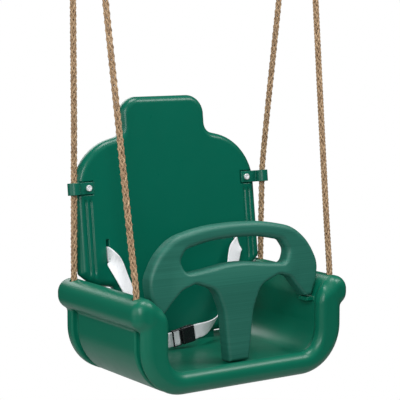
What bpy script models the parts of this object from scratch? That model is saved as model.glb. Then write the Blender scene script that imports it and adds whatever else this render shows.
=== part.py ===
"""Toddler bucket swing: three hollow plastic mouldings hung on two ropes from two steel rings.

Metres, +Z up, the child faces -Y. Shapes are designed in seat coordinates, in millimetres, with Z = 0 on
the crown of the arm tubes. At the end everything is moved so that the origin is the middle of the swing
axis, the line on which the two thimbles turn on their rings.
"""

import math

import bmesh
import bpy
from mathutils import Matrix, Vector

MM = 0.001
GAP = 0.3

# Seat moulding
WALL_FACE_X = 197.0
FLOOR_UNDERSIDE_Z = -159.0
CORNER_R = 80.0
FRONT_Y = -127.0
REAR_Y = 127.0
WALL_T = 49.0
FLOOR_T = 37.0
RIM_STEP_Y = 105.0
WALL_RECESS = 8.0
FLOOR_RECESS = 2.5
NOSE_LENGTH = 16.0
VALLEY_DEPTH = 7.0
SHOULDER_Z = -25.0
SHOULDER_TOP_Z = -2.0
SHOULDER_TOP_T = 16.0
SKIN = 3.5
ARM_X = 187.5
ARM_R = 23.0
ARM_FRONT_Y = -126.0
ARM_REAR_Y = 133.0
ARM_NOSE = 20.0

# Ropes
ROPE_D = 10.0
ROPE_X = 190.5
ROPE_MID_Y = 3.0
ROPE_Y = 97.5
ROPE_HOLE_D = 12.0
KNOT_R = 10.5
WASHER_R = 9.0
WASHER_T = 2.0
WASHER_TOP_Z = -8.6
THIMBLE_X = 217.0
THIMBLE_Y = 25.0
THIMBLE_Z = 732.0
ROPE_BEND_R = 21.0
THIMBLE_BORE_R = 10.0
RING_WIRE_R = 4.0
RING_R = 24.0
RING_SEAT_GAP = 1.3
AXIS_Z = THIMBLE_Z + THIMBLE_BORE_R - RING_WIRE_R - RING_SEAT_GAP

# Backrest moulding, drawn flat and then leant back about the X axis through (0, BACK_Y, 0)
BACK_Y = 100.0
BACK_LEAN = math.atan(0.12)
BACK_T = 25.0
BACK_EDGE_R = 8.0
BACK_SKIN = 2.6
CLIP_X = 160.0
CLIP_HEIGHT = 20.0
CLIP_RING_R = 10.4
CLIP_BORE_R = 6.6
CLIP_TAB_END_X = 150.0
CLIP_TAB_T = 4.8
CLIP_POCKET = 3.0
SCREW_R = 2.5
SCREW_HOLE_R = 2.9
NUT_BORE_R = 3.2
SLOT_X = 129.5
SLOT_LOW = 19.0
SLOT_HIGH = 60.5
SLOT_WIDTH = 5.0
TONGUE_X = 62.0
TONGUE_WIDTH = 28.0
TONGUE_T = 10.0

# Front guard moulding
GUARD_Y = -82.5
GUARD_LEAN = math.radians(3)
GUARD_T = 27.0
GUARD_EDGE_R = 6.0
GUARD_SKIN = 3.4
GUARD_FOOT_Z = -123.2
GUARD_TIP_Z = -34.0

# Belt
WEBBING_W = 25.0
WEBBING_T = 1.6
BUCKLE_CENTRE = Vector((-20.0, 34.0, -103.4))
BUCKLE_TILT = math.radians(9)
BUCKLE_HEIGHT = 29.0

SIDES = (("left", -1), ("right", 1))
ENDS = (("front", -1), ("rear", 1))


def clear_scene():
    for obj in list(bpy.data.objects):
        bpy.data.objects.remove(obj, do_unlink=True)


def material(name, colour, roughness, metallic=0.0):
    made = bpy.data.materials.new(name)
    made.use_nodes = True
    shader = made.node_tree.nodes["Principled BSDF"]
    shader.inputs["Base Color"].default_value = (*colour, 1.0)
    shader.inputs["Roughness"].default_value = roughness
    shader.inputs["Metallic"].default_value = metallic
    made.diffuse_color = (*colour, 1.0)
    return made


def add_object(name, mesh, look, smooth_angle=35.0):
    """Puts a millimetre mesh into the scene in metres."""
    mesh.transform(Matrix.Scale(MM, 4))
    mesh.materials.clear()
    mesh.materials.append(look)
    mesh.shade_smooth()
    mesh.set_sharp_from_angle(angle=math.radians(smooth_angle))
    obj = bpy.data.objects.new(name, mesh)
    bpy.context.scene.collection.objects.link(obj)
    return obj


def mesh_from_bmesh(name, bm):
    bmesh.ops.remove_doubles(bm, verts=bm.verts, dist=0.001)
    bmesh.ops.recalc_face_normals(bm, faces=bm.faces)
    mesh = bpy.data.meshes.new(name)
    bm.to_mesh(mesh)
    bm.free()
    return mesh


def lofted(name, rings):
    """A closed skin over rings of equally many points, with a face on each end."""
    bm = bmesh.new()
    rows = [[bm.verts.new(point) for point in ring] for ring in rings]
    count = len(rows[0])
    for low, high in zip(rows, rows[1:]):
        for i in range(count):
            j = (i + 1) % count
            bm.faces.new((low[i], low[j], high[j], high[i]))
    bm.faces.new(rows[0])
    bm.faces.new(rows[-1])
    return mesh_from_bmesh(name, bm)


def turned(name, profile, segments, matrix=Matrix()):
    """A profile of (radius, height) points, listed top to bottom, turned about its Z axis and capped."""
    bm = bmesh.new()
    verts = [bm.verts.new((radius, 0, height)) for radius, height in profile]
    edges = [bm.edges.new(pair) for pair in zip(verts, verts[1:])]
    if profile[0][0] > 0 and profile[-1][0] > 0:
        edges.append(bm.edges.new((verts[-1], verts[0])))
    bmesh.ops.spin(
        bm,
        geom=verts + edges,
        cent=(0, 0, 0),
        axis=(0, 0, 1),
        angle=math.tau,
        steps=segments,
        use_merge=True,
    )
    bm.transform(matrix)
    return mesh_from_bmesh(name, bm)


def plate(name, outlines, thickness, edge_r=0.0, inset=0.0, matrix=Matrix()):
    """Flat outlines, the first outside and the rest holes, made a plate with rounded edges.

    The outlines lie in X and Z, and the plate's thickness is centred on Y = 0.
    """
    curve = bpy.data.curves.new(name, "CURVE")
    curve.dimensions = "2D"
    curve.fill_mode = "BOTH"
    curve.extrude = thickness / 2 - edge_r
    curve.bevel_depth = edge_r
    curve.bevel_resolution = 1
    curve.offset = -edge_r - inset
    for outline in outlines:
        spline = curve.splines.new("POLY")
        spline.points.add(len(outline) - 1)
        for point, (x, z) in zip(spline.points, outline):
            point.co = (x, z, 0, 1)
        spline.use_cyclic_u = True
    carrier = bpy.data.objects.new(name, curve)
    mesh = bpy.data.meshes.new_from_object(carrier)
    bpy.data.objects.remove(carrier)
    bpy.data.curves.remove(curve)
    bm = bmesh.new()
    bm.from_mesh(mesh)
    bpy.data.meshes.remove(mesh)
    bm.transform(matrix @ Matrix.Rotation(math.radians(90), 4, "X"))
    return mesh_from_bmesh(name, bm)


def block(name, low, high, matrix=Matrix()):
    bm = bmesh.new()
    bmesh.ops.create_cube(bm, size=1)
    low, high = Vector(low), Vector(high)
    size = high - low
    bm.transform(matrix @ Matrix.Translation((low + high) / 2) @ Matrix.Diagonal((*size, 1)))
    return mesh_from_bmesh(name, bm)


def rod(name, radius, start, end, segments=16):
    """A round bar between two points."""
    start, end = Vector(start), Vector(end)
    turn = (end - start).to_track_quat("Z", "Y").to_matrix().to_4x4()
    length = (end - start).length
    profile = [(0, length), (radius, length), (radius, 0), (0, 0)]
    return turned(name, profile, segments, Matrix.Translation(start) @ turn)


def boolean(obj, operation, mesh):
    """Joins or cuts with a helper that stays out of the render."""
    helper = add_object(f"{obj.name}_{mesh.name}", mesh, obj.data.materials[0])
    helper.hide_render = True
    helper.display_type = "WIRE"
    helper.hide_set(True)
    modifier = obj.modifiers.new(mesh.name, "BOOLEAN")
    modifier.operation = operation
    modifier.object = helper
    return helper


def cut(obj, mesh):
    return boolean(obj, "DIFFERENCE", mesh)


def join(obj, mesh):
    return boolean(obj, "UNION", mesh)


def settled(obj):
    """Applies an object's modifiers, so that it can be used inside another Boolean without a chain."""
    graph = bpy.context.evaluated_depsgraph_get()
    mesh = bpy.data.meshes.new_from_object(obj.evaluated_get(graph))
    mesh.transform(Matrix.Scale(1 / MM, 4))
    return mesh


def arc(centre, radius, start_deg, end_deg, steps):
    """Points along an arc, both ends included."""
    points = []
    for i in range(steps + 1):
        angle = math.radians(start_deg + (end_deg - start_deg) * i / steps)
        points.append((centre[0] + radius * math.cos(angle), centre[1] + radius * math.sin(angle)))
    return points


def rounded(corners, steps=2):
    """An outline whose corners (x, y, radius) are rounded by arcs."""
    outline = []
    count = len(corners)
    for i, (x, y, radius) in enumerate(corners):
        here = Vector((x, y))
        if radius == 0:
            outline.append((x, y))
            continue
        before = (Vector(corners[i - 1][:2]) - here).normalized()
        after = (Vector(corners[(i + 1) % count][:2]) - here).normalized()
        half = before.angle(after) / 2
        run = radius / math.tan(half)
        start, end = here + before * run, here + after * run
        centre = here + (before + after).normalized() * (radius / math.sin(half))
        sweep = (start - centre).angle_signed(end - centre)
        for k in range(steps + 1):
            turn = Matrix.Rotation(-sweep * k / steps, 2)
            point = centre + turn @ (start - centre)
            outline.append((point.x, point.y))
    return outline


def mirrored(half):
    """A whole outline from its right half, listed from the top centre to the bottom centre."""
    left = [(-x, *rest) for x, *rest in reversed(half) if abs(x) > 1e-6]
    return list(half) + left


def inset_loop(loop, distance):
    """A closed loop of flat points moved inwards by a wall thickness."""
    area = sum(a[0] * b[1] - b[0] * a[1] for a, b in zip(loop, loop[1:] + loop[:1]))
    side = 1 if area > 0 else -1
    moved = []
    for i, point in enumerate(loop):
        before = (Vector(point) - Vector(loop[i - 1])).normalized()
        after = (Vector(loop[(i + 1) % len(loop)]) - Vector(point)).normalized()
        normal_a = Vector((-before.y, before.x)) * side
        normal_b = Vector((-after.y, after.x)) * side
        bisector = (normal_a + normal_b).normalized()
        reach = distance / max(bisector.dot(normal_a), 0.5)
        moved.append(tuple(Vector(point) + bisector * reach))
    return moved


def smooth_path(route, spacing):
    """Points read at about an even spacing from a smooth curve through a route.

    Each route point is (x, y, z) or (x, y, z, spacing), where its own spacing holds up to the next point.
    """
    points = [Vector(p[:3]) for p in route]
    ends = [2 * points[0] - points[1], *points, 2 * points[-1] - points[-2]]
    path = [points[0].copy()]
    for i in range(len(points) - 1):
        p0, p1, p2, p3 = ends[i : i + 4]
        a, b, c = (max((q - p).length, 1e-6) ** 0.5 for p, q in ((p0, p1), (p1, p2), (p2, p3)))
        leave = (p1 - p0) / a - (p2 - p0) / (a + b) + (p2 - p1) / b
        arrive = (p2 - p1) / b - (p3 - p1) / (b + c) + (p3 - p2) / c
        pitch = route[i][3] if len(route[i]) > 3 else spacing
        steps = max(1, round((p2 - p1).length / pitch))
        for k in range(1, steps + 1):
            t = k / steps
            h00 = 2 * t**3 - 3 * t**2 + 1
            h10 = t**3 - 2 * t**2 + t
            h01 = -2 * t**3 + 3 * t**2
            h11 = t**3 - t**2
            path.append(h00 * p1 + h10 * b * leave + h01 * p2 + h11 * b * arrive)
    return path


# ---------------------------------------------------------------- seat moulding


def seat_section(wall_t, recess):
    """The seat's section across a wall: (Y, depth from the outer face), once round."""
    half = wall_t / 2
    valley = VALLEY_DEPTH * wall_t / WALL_T
    nose = []
    for degrees in (-90, -60, -30, 0, 30, 60, 90):
        a = math.radians(degrees)
        nose.append((NOSE_LENGTH * (1 - math.cos(a)), half + half * math.sin(a)))
    front = [(FRONT_Y + back, depth) for back, depth in nose]
    rear = [(REAR_Y - back, depth) for back, depth in reversed(nose)]
    inner = [
        (-RIM_STEP_Y, wall_t - recess),
        (RIM_STEP_Y, wall_t - recess),
    ]
    outer = [
        (96, 0),
        (94, valley),
        (83, valley),
        (81, 0),
        (-95, 0),
        (-97, valley),
        (-108.5, valley),
    ]
    return front + inner + rear + outer


def seat_stations(skin):
    """(point on the outer face, inward direction, wall thickness, inner recess) down, across and up."""
    side = []
    top = SHOULDER_TOP_Z - skin
    for lift in (90, 60, 30, 0):
        angle = math.radians(lift)
        height = SHOULDER_Z + (top - SHOULDER_Z) * math.sin(angle)
        depth = SHOULDER_TOP_T + (WALL_T - SHOULDER_TOP_T) * math.cos(angle)
        side.append(((WALL_FACE_X, height), (-1, 0), depth, WALL_RECESS * depth / WALL_T))
    corner = (WALL_FACE_X - CORNER_R, FLOOR_UNDERSIDE_Z + CORNER_R)
    steps = 6
    for i in range(steps + 1):
        angle = math.radians(90 * i / steps)
        x = corner[0] + CORNER_R * math.cos(angle)
        z = corner[1] - CORNER_R * math.sin(angle)
        depth = WALL_T + (FLOOR_T - WALL_T) * i / steps
        recess = WALL_RECESS + (FLOOR_RECESS - WALL_RECESS) * i / steps
        side.append(((x, z), (-math.cos(angle), math.sin(angle)), depth, recess))
    other = [((-p[0], p[1]), (-n[0], n[1]), depth, recess) for p, n, depth, recess in reversed(side)]
    return side + other


def seat_body(name, skin=0.0):
    rings = []
    for point, inward, depth, recess in seat_stations(skin):
        loop = seat_section(depth, recess)
        if skin:
            loop = inset_loop(loop, skin)
        rings.append([(point[0] + inward[0] * n, y, point[1] + inward[1] * n) for y, n in loop])
    return lofted(name, rings)


def arm_body(name, side, skin=0.0):
    """The arm tube: a round bar along Y with domed ends."""
    radius = ARM_R - skin
    front, rear = ARM_FRONT_Y + skin, ARM_REAR_Y - skin
    nose = ARM_NOSE - skin
    rings = []
    for end, direction in ((front, 1), (rear, -1)):
        angles = (12, 30, 50, 70, 90) if direction == 1 else (90, 70, 50, 30, 12)
        for angle in angles:
            a = math.radians(angle)
            y = end + direction * (nose - nose * math.cos(a))
            size = radius * math.sin(a)
            rings.append(
                [
                    (side * ARM_X + size * math.cos(t), y, -ARM_R + size * math.sin(t))
                    for t in (math.radians(22.5 * k + 11.25) for k in range(16))
                ]
            )
    return lofted(name, rings)


def make_seat(look):
    seat = add_object("seat_shell", seat_body("body"), look)
    for name, side in SIDES:
        join(seat, arm_body(f"arm_{name}", side))
        ledge = block(f"ledge_{name}", (138, -98, -43), (162, -70, GUARD_TIP_Z - GAP))
        if side < 0:
            ledge.transform(Matrix.Scale(-1, 4, (1, 0, 0)))
            ledge.flip_normals()
        join(seat, ledge)
    hollow = add_object("hollow", seat_body("space", SKIN), look)
    for name, side in SIDES:
        join(hollow, arm_body(f"space_{name}", side, SKIN))
    space = settled(hollow)
    space.name = "hollow"
    for obj in [o for o in bpy.data.objects if o.name.startswith("hollow")]:
        bpy.data.objects.remove(obj)
    cut(seat, space)
    for name, side in SIDES:
        for end, along in ENDS:
            x, y = side * ROPE_X, ROPE_MID_Y + along * ROPE_Y
            cut(seat, rod(f"rope_hole_{name}_{end}", ROPE_HOLE_D / 2, (x, y, -14), (x, y, 12)))
            x = side * 102
            bottom = FLOOR_UNDERSIDE_Z
            cut(seat, rod(f"knot_access_{name}_{end}", 14, (x, y, bottom - 6), (x, y, bottom + 14)))
        x = side * TONGUE_X
        half = TONGUE_WIDTH / 2 + 1
        y = BACK_Y - 0.12 * 130
        cut(seat, block(f"tongue_slot_{name}", (x - half, y - 7, -133), (x + half, y + 7, -120)))
    return seat


# ---------------------------------------------------------------- backrest moulding


def back_matrix():
    """From the backrest's flat drawing (X, thickness, height) to the seat."""
    return Matrix.Translation((0, BACK_Y, 0)) @ Matrix.Rotation(-BACK_LEAN, 4, "X")


def back_outline():
    half = [
        (0, 296.5, 0),
        (84, 296.5, 33),
        (84, 233, 18),
        (180.5, 210.5, 92),
        (182, 6.5, 7),
        (166, -6.5, 8),
        (150, -15.5, 8),
        (119, -20, 8),
        (112, -114, 10),
        (0, -116, 0),
    ]
    return rounded(mirrored(half))


def make_backrest(look):
    lean = back_matrix()
    outline = back_outline()
    back = add_object("backrest_shell", plate("panel", [outline], BACK_T, BACK_EDGE_R, 0, lean), look)
    for name, side in SIDES:
        x = side * TONGUE_X
        low = (x - TONGUE_WIDTH / 2, -TONGUE_T / 2, -131)
        high = (x + TONGUE_WIDTH / 2, TONGUE_T / 2, -108)
        join(back, block(f"tongue_{name}", low, high, lean))
    inner = plate("hollow", [outline], BACK_T - 2 * BACK_SKIN, BACK_EDGE_R - BACK_SKIN, BACK_SKIN, lean)
    hollow = add_object("hollow", inner, look)
    clip_z = clip_height()
    for name, side in SIDES:
        x = side * SLOT_X
        low = (x - SLOT_WIDTH / 2 - BACK_SKIN, -BACK_T, SLOT_LOW - BACK_SKIN)
        high = (x + SLOT_WIDTH / 2 + BACK_SKIN, BACK_T, SLOT_HIGH + BACK_SKIN)
        cut(hollow, block(f"slot_wall_{name}", low, high, lean))
        edge = side * (CLIP_TAB_END_X - 6)
        far = side * 200
        low = (min(edge, far), -BACK_T, clip_z - CLIP_HEIGHT / 2 - 5)
        high = (max(edge, far), BACK_T, clip_z + CLIP_HEIGHT / 2 + 5)
        cut(hollow, block(f"clip_boss_{name}", low, high, lean))
    space = settled(hollow)
    space.name = "hollow"
    for obj in [o for o in bpy.data.objects if o.name.startswith("hollow")]:
        bpy.data.objects.remove(obj)
    cut(back, space)
    cut(back, rod("blow_hole", 4, lean @ Vector((0, 0, -122)), lean @ Vector((0, 0, -106)), 12))
    for name, side in SIDES:
        x = side * SLOT_X
        low = (x - SLOT_WIDTH / 2, -BACK_T, SLOT_LOW)
        high = (x + SLOT_WIDTH / 2, BACK_T, SLOT_HIGH)
        cut(back, block(f"slot_{name}", low, high, lean))
        edge = side * (CLIP_TAB_END_X - 1)
        far = side * 200
        low = (min(edge, far), -BACK_T, clip_z - CLIP_HEIGHT / 2 - 1)
        high = (max(edge, far), -BACK_T / 2 + CLIP_POCKET, clip_z + CLIP_HEIGHT / 2 + 1)
        cut(back, block(f"pocket_{name}", low, high, lean))
        x = side * CLIP_X
        start = lean @ Vector((x, -BACK_T, clip_z))
        end = lean @ Vector((x, BACK_T, clip_z))
        cut(back, rod(f"screw_hole_{name}", SCREW_HOLE_R, start, end, 12))
    return back


def clip_height():
    """Height along the backrest at which the clips sit."""
    return 148.0


def make_clips(look, steel):
    lean = back_matrix()
    height = clip_height()
    rope = lean.inverted() @ Vector((ROPE_X, ROPE_Y, height))
    tab_rear = -BACK_T / 2 + CLIP_POCKET - GAP
    tab_front = tab_rear - CLIP_TAB_T
    ring_y = tab_rear - CLIP_RING_R
    lift = math.degrees(math.asin((tab_front - ring_y) / CLIP_RING_R))
    print("rope in the clip is off its bore's centre by", round(rope.y - ring_y, 2), "mm")
    for name, side in SIDES:
        ring = arc((ROPE_X, ring_y), CLIP_RING_R, 90, -180 - lift, 14)
        outline = [(CLIP_TAB_END_X, tab_front), (CLIP_TAB_END_X, tab_rear)] + ring
        bore = arc((ROPE_X, ring_y), CLIP_BORE_R, 0, 360 - 22.5, 15)
        outline = [(side * x, y) for x, y in outline]
        bore = [(side * x, y) for x, y in bore]
        # The plate is drawn in X and Z, so it is laid down and lifted to the clip's height.
        lay = lean @ Matrix.Translation((0, 0, height)) @ Matrix.Rotation(math.radians(-90), 4, "X")
        band = plate("band", [outline, bore], CLIP_HEIGHT, 0, 0, lay)
        clip = add_object(f"rope_clip_{name}", band, look)
        x = side * CLIP_X
        start = lean @ Vector((x, tab_front - 6, height))
        end = lean @ Vector((x, tab_rear + 6, height))
        cut(clip, rod("screw_hole", SCREW_HOLE_R, start, end, 12))
        axis = lean @ Matrix.Translation((x, 0, height)) @ Matrix.Rotation(math.radians(90), 4, "X")
        head = -tab_front + GAP
        screw = [(0, head + 3.4), (2.6, head + 3.0), (4.2, head + 1.9), (5.0, head), (SCREW_R, head)]
        screw += [(SCREW_R, -19.5), (0, -19.5)]
        add_object(f"clip_screw_{name}", turned("screw", screw, 16, axis), steel)
        rear = -BACK_T / 2 - GAP
        nut = [(4.6, rear), (4.6, rear - 4.0), (NUT_BORE_R, rear - 4.0), (NUT_BORE_R, rear)]
        add_object(f"clip_nut_{name}", turned("nut", nut, 6, axis), steel)


# ---------------------------------------------------------------- front guard moulding


def guard_outlines():
    half = [
        (0, 101.5, 0),
        (60, 99, 300),
        (119, 86, 78),
        (151, 58, 80),
        (167, 22, 50),
        (163, -4, 20),
        (151.5, GUARD_TIP_Z + 2, 4),
        (138.5, GUARD_TIP_Z + 2, 4),
        (106, 3, 24),
        (82, 11, 18),
        (44, -3, 30),
        (29, -40, 60),
        (19.8, GUARD_FOOT_Z, 3),
        (0, GUARD_FOOT_Z, 0),
    ]
    hand_hole = [
        (0, 77, 0),
        (50, 74.5, 200),
        (94, 65, 14),
        (106, 47, 13),
        (98, 27, 12),
        (58, 31, 90),
        (0, 39, 0),
    ]
    return rounded(mirrored(half)), rounded(mirrored(hand_hole))


def make_guard(look):
    outlines = guard_outlines()
    stand = Matrix.Translation((0, GUARD_Y, 0)) @ Matrix.Rotation(-GUARD_LEAN, 4, "X")
    outer = plate("plate", outlines, GUARD_T, GUARD_EDGE_R, 0, stand)
    guard = add_object("front_guard", outer, look)
    hollow_t = GUARD_T - 2 * GUARD_SKIN
    inner = plate("hollow", outlines, hollow_t, GUARD_EDGE_R - GUARD_SKIN, GUARD_SKIN, stand)
    cut(guard, inner)
    low = stand @ Vector((0, 0, GUARD_FOOT_Z - 5))
    high = stand @ Vector((0, 0, GUARD_FOOT_Z + 8))
    cut(guard, rod("blow_hole", 4, low, high, 12))
    return guard


# ---------------------------------------------------------------- ropes and hanging gear


def rope_route(side):
    """One side's rope: front arm hole, thimble, clip, rear arm hole."""
    hole_z = WASHER_TOP_Z - WASHER_T
    front_y = ROPE_MID_Y - ROPE_Y
    rear_y = ROPE_MID_Y + ROPE_Y
    front = [
        (ROPE_X, front_y, hole_z),
        (ROPE_X, front_y + 0.1, 4),
        (193, -82.1, 90),
        (197, -64.2, 220),
        (202, -43.8, 370),
        (208, -20.8, 540),
        (213.5, -4.6, 660),
    ]
    bight = []
    for angle in (188, 165, 140, 115, 90, 65, 40, 15, -7):
        a = math.radians(angle)
        y = THIMBLE_Y + ROPE_BEND_R * math.cos(a)
        z = THIMBLE_Z + ROPE_BEND_R * math.sin(a)
        bight.append((THIMBLE_X, y, z, 6.5))
    bight[-1] = (*bight[-1][:3], 24)
    rear = [
        (214, 51.5, 655),
        (208, 62.5, 530),
        (200.5, 76.5, 380),
        (193.5, 90, 240),
        (190.7, 97.2, 160),
        (190.5, 98.1, 125),
        (190.5, 99.6, 60),
        (190.5, rear_y, hole_z),
    ]
    return [(side * p[0], *p[1:]) for p in front + bight + rear]


def make_rope(name, side, look):
    path = smooth_path(rope_route(side), 26)
    curve = bpy.data.curves.new(f"rope_{name}", "CURVE")
    curve.dimensions = "3D"
    curve.bevel_depth = ROPE_D / 2 * MM
    curve.bevel_resolution = 2
    curve.use_fill_caps = True
    curve.materials.append(look)
    spline = curve.splines.new("POLY")
    spline.points.add(len(path) - 1)
    for point, place in zip(spline.points, path):
        point.co = (*(place * MM), 1)
    length = sum((b - a).length for a, b in zip(path, path[1:]))
    print(f"rope_{name}: {len(path)} points, {length:.0f} mm")
    obj = bpy.data.objects.new(f"rope_{name}", curve)
    bpy.context.scene.collection.objects.link(obj)


def make_hanging_gear(rope_look, steel):
    groove_r = ROPE_BEND_R - ROPE_D / 2 - 2 * GAP
    for name, side in SIDES:
        make_rope(name, side, rope_look)
        for end, along in ENDS:
            hole = Matrix.Translation((side * ROPE_X, ROPE_MID_Y + along * ROPE_Y, 0))
            top, low = WASHER_TOP_Z, WASHER_TOP_Z - WASHER_T
            ring = [(WASHER_R - 1, top), (WASHER_R, top - 1), (WASHER_R, low), (6, low), (6, top)]
            add_object(f"rope_washer_{name}_{end}", turned("washer", ring, 14, hole), steel)
            centre = low - GAP - KNOT_R
            knot = [
                (KNOT_R * math.sin(math.radians(a)), centre + KNOT_R * math.cos(math.radians(a)))
                for a in range(0, 181, 30)
            ]
            add_object(f"rope_knot_{name}_{end}", turned("knot", knot, 12, hole), rope_look)
        eye = Matrix.Translation((side * THIMBLE_X, THIMBLE_Y, THIMBLE_Z))
        eye = eye @ Matrix.Rotation(math.radians(90), 4, "Y")
        sheave = [(THIMBLE_BORE_R, 6.5), (groove_r + 4, 6.5), (groove_r + 0.5, 3.8), (groove_r, 0)]
        sheave += [(groove_r + 0.5, -3.8), (groove_r + 4, -6.5), (THIMBLE_BORE_R, -6.5)]
        add_object(f"rope_thimble_{name}", turned("thimble", sheave, 24, eye), steel)
        centre = Vector((side * THIMBLE_X, THIMBLE_Y, AXIS_Z + RING_R))
        wire = [
            (RING_R + RING_WIRE_R * math.cos(math.radians(a)), RING_WIRE_R * math.sin(math.radians(a)))
            for a in range(360, 0, -36)
        ]
        stand = Matrix.Translation(centre) @ Matrix.Rotation(math.radians(90), 4, "X")
        add_object(f"hanger_ring_{name}", turned("ring", wire, 24, stand), steel)


# ---------------------------------------------------------------- lap belt


def ribbon(name, stations, look):
    """Webbing through stations of (centre, width direction)."""
    spacing = 9
    centres = smooth_path([c for c, w in stations], spacing)
    widths = [Vector(stations[0][1])]
    for (c0, w0), (c1, w1) in zip(stations, stations[1:]):
        steps = max(1, round((Vector(c1) - Vector(c0)).length / spacing))
        widths += [Vector(w0).lerp(Vector(w1), k / steps) for k in range(1, steps + 1)]
    rings = []
    last = len(centres) - 1
    for i, (centre, width) in enumerate(zip(centres, widths)):
        ahead = (centres[min(i + 1, last)] - centres[max(i - 1, 0)]).normalized()
        across = (width - ahead * width.dot(ahead)).normalized()
        half_w = across * WEBBING_W / 2
        half_t = ahead.cross(across) * WEBBING_T / 2
        rings.append(
            [
                centre + half_w + half_t,
                centre - half_w + half_t,
                centre - half_w - half_t,
                centre + half_w - half_t,
            ]
        )
    return add_object(name, lofted("webbing", rings), look)


def make_belt(webbing, plastic):
    lean = back_matrix()
    slot = (SLOT_LOW + 2 + WEBBING_W / 2) + 2
    behind = lean @ Vector((SLOT_X, BACK_T / 2 + 8, slot))
    inside = lean @ Vector((SLOT_X, -BACK_T / 2 - 2, slot))
    upright = (-math.sin(BUCKLE_TILT), 0, math.cos(BUCKLE_TILT))
    left = [
        ((-behind.x, behind.y, behind.z), (0, 0.1, 1)),
        ((-inside.x, inside.y, inside.z), (0, 0.1, 1)),
        ((-130, 79, 33), (0.1, 0, 1)),
        ((-125, 70, 17), (0.5, 0.1, 0.85)),
        ((-115, 62, -10), (0.85, 0.3, 0.4)),
        ((-98, 54, -48), (0.85, 0.35, 0.3)),
        ((-79, 44, -82), (0.75, 0.2, 0.6)),
        ((-62, 36.5, -104), (0.25, 0, 0.95)),
        (buckle_point(-32), upright),
        (buckle_point(-23.2), upright),
    ]
    right = [
        ((behind.x, behind.y, behind.z), (0, 0.1, 1)),
        ((inside.x, inside.y, inside.z), (0, 0.1, 1)),
        ((126, 79, 35), (-0.35, 0.1, 0.95)),
        ((118, 76, 27), (-0.85, 0.1, 0.5)),
        ((114, 75, 14), (-1, 0, 0.1)),
        ((110, 73, 0), (-1, -0.1, 0.05)),
        ((101, 67, -22), (-0.95, -0.35, 0)),
        ((88, 59, -44), (-0.75, -0.65, 0)),
        ((75, 51, -62), (-0.6, -0.8, 0)),
        ((62, 46, -78), (-0.55, -0.8, 0.15)),
        ((48, 41, -89), (-0.4, -0.7, 0.5)),
        ((34, 37, -95), (-0.15, -0.4, 0.9)),
        ((20, 35, -98), (-0.1, -0.1, 1)),
        (buckle_point(32), upright),
        (buckle_point(23.5), upright),
    ]
    for name, stations in (("left", left), ("right", right)):
        ribbon(f"strap_{name}", stations, webbing)
    for name, side in SIDES:
        x = side * SLOT_X
        corners = [(x - 13, slot - 20), (x + 13, slot - 20), (x + 13, slot + 20), (x - 13, slot + 20)]
        outline = rounded([(*corner, 3) for corner in corners])
        window = [(x - 2, slot - 13.5), (x + 2, slot - 13.5), (x + 2, slot + 13.5), (x - 2, slot + 13.5)]
        rest = lean @ Matrix.Translation((0, BACK_T / 2 + GAP + 1.5, 0))
        add_object(f"strap_stop_{name}", plate("stop", [outline, window], 3, 0, 0, rest), plastic)
    make_buckle(plastic)


def buckle_matrix():
    """From the buckle's own drawing to the seat: its right end is lifted."""
    return Matrix.Translation(BUCKLE_CENTRE) @ Matrix.Rotation(-BUCKLE_TILT, 4, "Y")


def buckle_point(along):
    """A point on the buckle's long axis."""
    return (buckle_matrix() @ Vector((along, 0, 0))).to_tuple()


def make_buckle(plastic):
    stand = buckle_matrix()
    half = BUCKLE_HEIGHT / 2
    # Receiver: a flat box whose mouth faces the plug, with a bar for the sewn webbing loop.
    lower = [(-3, -half, 2), (16, -half, 3), (22, -half + 1, 3)]
    outline = rounded(lower + [(x, -z, r) for x, z, r in reversed(lower)])
    receiver = add_object("buckle_receiver", plate("body", [outline], 10, 2, 0, stand), plastic)
    cut(receiver, block("mouth", (-9, -3.1, -half + 2.2), (15, 3.1, half - 2.2), stand))
    cut(receiver, block("loop_slot", (19, -8, -13.2), (30, -1.4, 13.2), stand))
    # Plug: a ladder-lock frame with two bars, and two prongs and a guide that enter the receiver.
    frame = rounded([(-22, -half, 3), (-4, -half, 2), (-4, half, 2), (-22, half, 3)])
    window = [(-18.5, -12.8), (-7.5, -12.8), (-7.5, 12.8), (-18.5, 12.8)]
    plug = add_object("buckle_plug", plate("frame", [frame, window], 6, 0.5, 0, stand), plastic)
    for name, low, high in (("guide", -2.5, 2.5), ("prong_low", -11.5, -8.2), ("prong_high", 8.2, 11.5)):
        join(plug, block(name, (-5.5, -2.4, low), (12, 2.4, high), stand))


def move_origin_to_axis():
    """Puts the frame's origin in the middle of the swing axis, and each object's origin on its joint."""
    shift = Matrix.Translation(Vector((0, -THIMBLE_Y, -AXIS_Z)) * MM)
    for obj in bpy.data.objects:
        obj.data.transform(shift)
    for name, place in (
        ("front_guard", Vector((0, GUARD_Y, GUARD_FOOT_Z))),
        ("buckle_plug", BUCKLE_CENTRE),
    ):
        obj = bpy.data.objects[name]
        at = shift @ (place * MM)
        obj.data.transform(Matrix.Translation(-at))
        obj.location = at


def main():
    clear_scene()
    green = material("moulded_green", (0.0, 0.115, 0.075), 0.38)
    guard_green = material("guard_green", (0.015, 0.125, 0.09), 0.5)
    hemp = material("hemp_rope", (0.5, 0.33, 0.18), 0.85)
    white = material("white_webbing", (0.85, 0.86, 0.9), 0.8)
    black = material("black_acetal", (0.01, 0.01, 0.012), 0.3)
    zinc = material("zinc_steel", (0.7, 0.7, 0.72), 0.3, 1.0)
    make_seat(green)
    make_backrest(green)
    make_guard(guard_green)
    make_clips(green, zinc)
    make_hanging_gear(hemp, zinc)
    make_belt(white, black)
    move_origin_to_axis()


main()
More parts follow.
